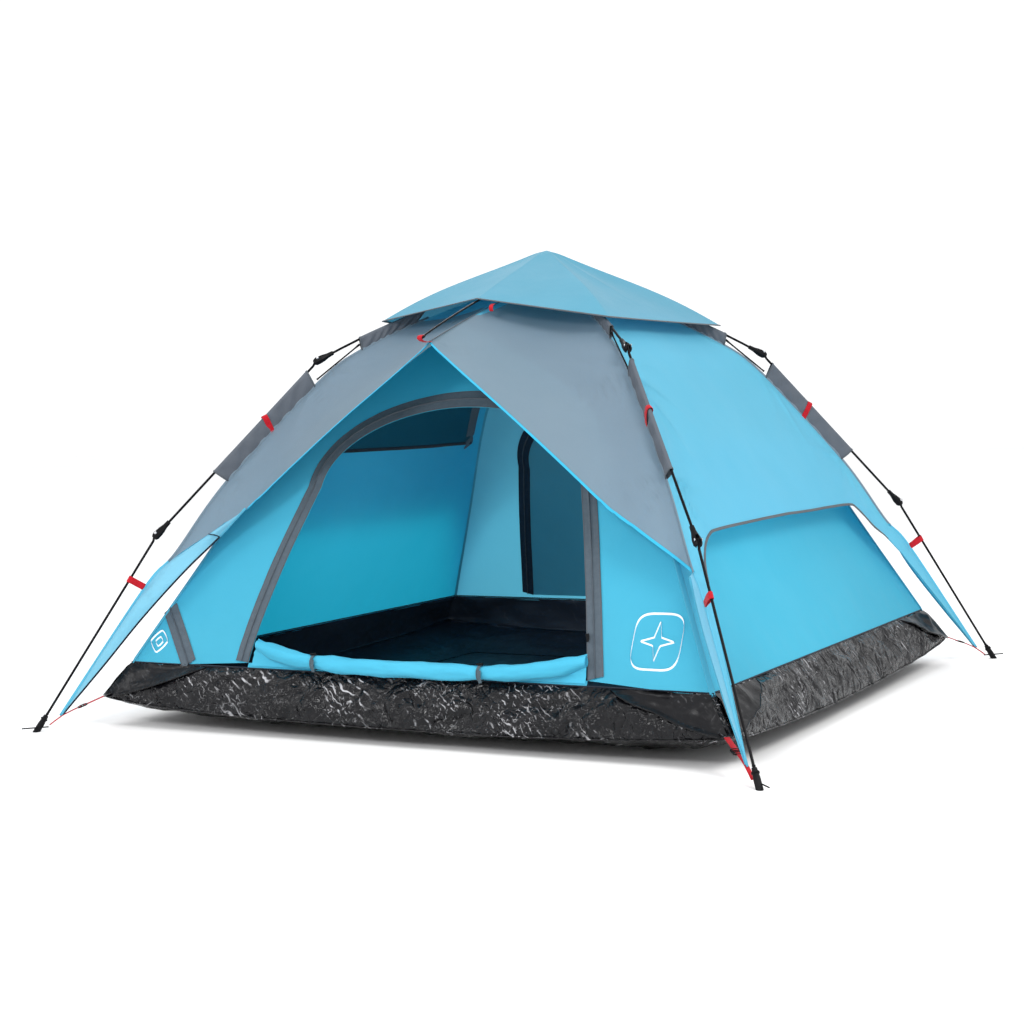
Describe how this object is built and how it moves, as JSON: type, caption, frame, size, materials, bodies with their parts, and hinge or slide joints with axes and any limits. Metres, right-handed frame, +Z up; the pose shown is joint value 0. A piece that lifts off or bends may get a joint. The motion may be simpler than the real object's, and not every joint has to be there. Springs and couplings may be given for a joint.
{
  "type": "pop up tent",
  "caption": "Pop-up tent on hinged rod legs: central hub, roof cap, fly with awnings, inner tent with rolled-down door and a black tub floor.",
  "frame": {"origin": "on the ground under the hub, at the centre of the four feet", "axes": "+Z up, the open door faces -Y, +X is to the right of someone facing +Y"},
  "size_m": [2.2882, 2.4024, 1.4027],
  "materials": {
    "fabric_blue": "coated polyester, slight sheen",
    "fabric_grey": "coated polyester, matte",
    "sheet_black": "glossy creased polyethylene tarpaulin",
    "webbing_red": "woven webbing",
    "rod_black": "satin fibreglass rod",
    "plastic_black": "moulded nylon",
    "steel": "plated steel pin"
  },
  "bodies": {
    "canopy": {"groundsheet": "sheet_black", "inner_front": "fabric_blue", "inner_rear": "fabric_blue", "inner_left": "fabric_blue", "inner_right": "fabric_blue", "fly_front": "fabric_grey", "fly_rear": "fabric_grey", "fly_left": "fabric_blue", "fly_right": "fabric_blue", "door_roll": "fabric_blue", "door_tie_left": "fabric_grey", "door_tie_right": "fabric_grey", "corner_strap_front_right": "webbing_red", "corner_strap_rear_right": "webbing_red", "corner_strap_rear_left": "webbing_red", "corner_strap_front_left": "webbing_red", "strap_buckle_front_right": "plastic_black", "strap_buckle_rear_right": "plastic_black", "strap_buckle_rear_left": "plastic_black", "strap_buckle_front_left": "plastic_black"},
    "hub": {"hub_body": "plastic_black", "hub_bolt": "plastic_black", "roof_cap": "fabric_blue"},
    "zip": {"zip_slider": "plastic_black"},
    "upper_leg_front_right": {"upper_rod_front_right": "rod_black", "upper_socket_front_right": "plastic_black"},
    "middle_leg_front_right": {"middle_rod_front_right": "rod_black", "lower_socket_front_right": "plastic_black"},
    "lower_leg_front_right": {"lower_rod_front_right": "rod_black", "foot_cap_front_right": "plastic_black", "foot_pin_front_right": "steel"},
    "corner_prong_front_right": {"corner_strut_front_right": "rod_black"},
    "upper_leg_rear_right": {"upper_rod_rear_right": "rod_black", "upper_socket_rear_right": "plastic_black"},
    "middle_leg_rear_right": {"middle_rod_rear_right": "rod_black", "lower_socket_rear_right": "plastic_black"},
    "lower_leg_rear_right": {"lower_rod_rear_right": "rod_black", "foot_cap_rear_right": "plastic_black", "foot_pin_rear_right": "steel"},
    "corner_prong_rear_right": {"corner_strut_rear_right": "rod_black"},
    "upper_leg_rear_left": {"upper_rod_rear_left": "rod_black", "upper_socket_rear_left": "plastic_black"},
    "middle_leg_rear_left": {"middle_rod_rear_left": "rod_black", "lower_socket_rear_left": "plastic_black"},
    "lower_leg_rear_left": {"lower_rod_rear_left": "rod_black", "foot_cap_rear_left": "plastic_black", "foot_pin_rear_left": "steel"},
    "corner_prong_rear_left": {"corner_strut_rear_left": "rod_black"},
    "upper_leg_front_left": {"upper_rod_front_left": "rod_black", "upper_socket_front_left": "plastic_black"},
    "middle_leg_front_left": {"middle_rod_front_left": "rod_black", "lower_socket_front_left": "plastic_black"},
    "lower_leg_front_left": {"lower_rod_front_left": "rod_black", "foot_cap_front_left": "plastic_black", "foot_pin_front_left": "steel"},
    "corner_prong_front_left": {"corner_strut_front_left": "rod_black"},
    "awning_arm_front": {"awning_strut_front": "rod_black"},
    "awning_arm_rear": {"awning_strut_rear": "rod_black"}
  },
  "joints": [
    {"name": "hub_drop", "type": "slide", "parent": "canopy", "child": "hub", "axis": [0, 0, -1], "range_m": [0, 0.52], "deforming": ["fly_front", "fly_rear", "fly_left", "fly_right", "inner_front", "inner_rear", "inner_left", "inner_right", "roof_cap", "corner_strap_front_right", "corner_strap_rear_right", "corner_strap_rear_left", "corner_strap_front_left"]},
    {"name": "hub_hinge_front_right", "type": "hinge", "parent": "hub", "child": "upper_leg_front_right", "pos_m": [0.03447, -0.03621, 1.33], "axis": [0.7243, 0.6895, 0], "range_deg": [0, 65.5]},
    {"name": "upper_elbow_front_right", "type": "hinge", "parent": "upper_leg_front_right", "child": "middle_leg_front_right", "pos_m": [0.51439, -0.54034, 1.07105], "axis": [-0.7243, -0.6895, 0], "range_deg": [0, 172.5]},
    {"name": "lower_elbow_front_right", "type": "hinge", "parent": "middle_leg_front_right", "child": "lower_leg_front_right", "pos_m": [0.86077, -0.90419, 0.56433], "axis": [-0.7243, -0.6895, 0], "range_deg": [0, 191.3]},
    {"name": "corner_prong_front_right", "type": "hinge", "parent": "upper_leg_front_right", "child": "corner_prong_front_right", "pos_m": [0.42197, -0.44326, 1.1105], "axis": [-0.7243, -0.6895, 0], "range_deg": [0, 10.5]},
    {"name": "hub_hinge_rear_right", "type": "hinge", "parent": "hub", "child": "upper_leg_rear_right", "pos_m": [0.03447, 0.03621, 1.33], "axis": [-0.7243, 0.6895, 0], "range_deg": [0, 65.5]},
    {"name": "upper_elbow_rear_right", "type": "hinge", "parent": "upper_leg_rear_right", "child": "middle_leg_rear_right", "pos_m": [0.51439, 0.54034, 1.07105], "axis": [0.7243, -0.6895, 0], "range_deg": [0, 172.5]},
    {"name": "lower_elbow_rear_right", "type": "hinge", "parent": "middle_leg_rear_right", "child": "lower_leg_rear_right", "pos_m": [0.86077, 0.90419, 0.56433], "axis": [0.7243, -0.6895, 0], "range_deg": [0, 191.3]},
    {"name": "corner_prong_rear_right", "type": "hinge", "parent": "upper_leg_rear_right", "child": "corner_prong_rear_right", "pos_m": [0.42197, 0.44326, 1.1105], "axis": [0.7243, -0.6895, 0], "range_deg": [0, 10.5]},
    {"name": "hub_hinge_rear_left", "type": "hinge", "parent": "hub", "child": "upper_leg_rear_left", "pos_m": [-0.03447, 0.03621, 1.33], "axis": [-0.7243, -0.6895, 0], "range_deg": [0, 65.5]},
    {"name": "upper_elbow_rear_left", "type": "hinge", "parent": "upper_leg_rear_left", "child": "middle_leg_rear_left", "pos_m": [-0.51439, 0.54034, 1.07105], "axis": [0.7243, 0.6895, 0], "range_deg": [0, 172.5]},
    {"name": "lower_elbow_rear_left", "type": "hinge", "parent": "middle_leg_rear_left", "child": "lower_leg_rear_left", "pos_m": [-0.86077, 0.90419, 0.56433], "axis": [0.7243, 0.6895, 0], "range_deg": [0, 191.3]},
    {"name": "corner_prong_rear_left", "type": "hinge", "parent": "upper_leg_rear_left", "child": "corner_prong_rear_left", "pos_m": [-0.42197, 0.44326, 1.1105], "axis": [0.7243, 0.6895, 0], "range_deg": [0, 10.5]},
    {"name": "hub_hinge_front_left", "type": "hinge", "parent": "hub", "child": "upper_leg_front_left", "pos_m": [-0.03447, -0.03621, 1.33], "axis": [0.7243, -0.6895, 0], "range_deg": [0, 65.5]},
    {"name": "upper_elbow_front_left", "type": "hinge", "parent": "upper_leg_front_left", "child": "middle_leg_front_left", "pos_m": [-0.51439, -0.54034, 1.07105], "axis": [-0.7243, 0.6895, 0], "range_deg": [0, 172.5]},
    {"name": "lower_elbow_front_left", "type": "hinge", "parent": "middle_leg_front_left", "child": "lower_leg_front_left", "pos_m": [-0.86077, -0.90419, 0.56433], "axis": [-0.7243, 0.6895, 0], "range_deg": [0, 191.3]},
    {"name": "corner_prong_front_left", "type": "hinge", "parent": "upper_leg_front_left", "child": "corner_prong_front_left", "pos_m": [-0.42197, -0.44326, 1.1105], "axis": [-0.7243, 0.6895, 0], "range_deg": [0, 10.5]},
    {"name": "awning_hinge_front", "type": "hinge", "parent": "hub", "child": "awning_arm_front", "pos_m": [0, -0.05, 1.33], "axis": [1, 0, 0], "range_deg": [0, 68.5]},
    {"name": "awning_hinge_rear", "type": "hinge", "parent": "hub", "child": "awning_arm_rear", "pos_m": [0, 0.05, 1.33], "axis": [-1, 0, 0], "range_deg": [0, 68.5]},
    {"name": "zip_slide", "type": "slide", "parent": "canopy", "child": "zip", "axis": [-0.328, 0.4559, 0.8274], "range_m": [0, 0.24]}
  ],
  "couplings": [
    {"joint": "hub_hinge_front_right", "follows": "hub_drop", "rad_per_m": 2.1817},
    {"joint": "upper_elbow_front_right", "follows": "hub_drop", "rad_per_m": 5.773},
    {"joint": "corner_prong_front_right", "follows": "hub_drop", "rad_per_m": 0.33564},
    {"joint": "hub_hinge_rear_right", "follows": "hub_drop", "rad_per_m": 2.1817},
    {"joint": "upper_elbow_rear_right", "follows": "hub_drop", "rad_per_m": 5.773},
    {"joint": "corner_prong_rear_right", "follows": "hub_drop", "rad_per_m": 0.33564},
    {"joint": "hub_hinge_rear_left", "follows": "hub_drop", "rad_per_m": 2.1817},
    {"joint": "upper_elbow_rear_left", "follows": "hub_drop", "rad_per_m": 5.773},
    {"joint": "corner_prong_rear_left", "follows": "hub_drop", "rad_per_m": 0.33564},
    {"joint": "hub_hinge_front_left", "follows": "hub_drop", "rad_per_m": 2.1817},
    {"joint": "upper_elbow_front_left", "follows": "hub_drop", "rad_per_m": 5.773},
    {"joint": "corner_prong_front_left", "follows": "hub_drop", "rad_per_m": 0.33564},
    {"joint": "awning_hinge_front", "follows": "hub_drop", "rad_per_m": 2.2824},
    {"joint": "awning_hinge_rear", "follows": "hub_drop", "rad_per_m": 2.2824}
  ]
}
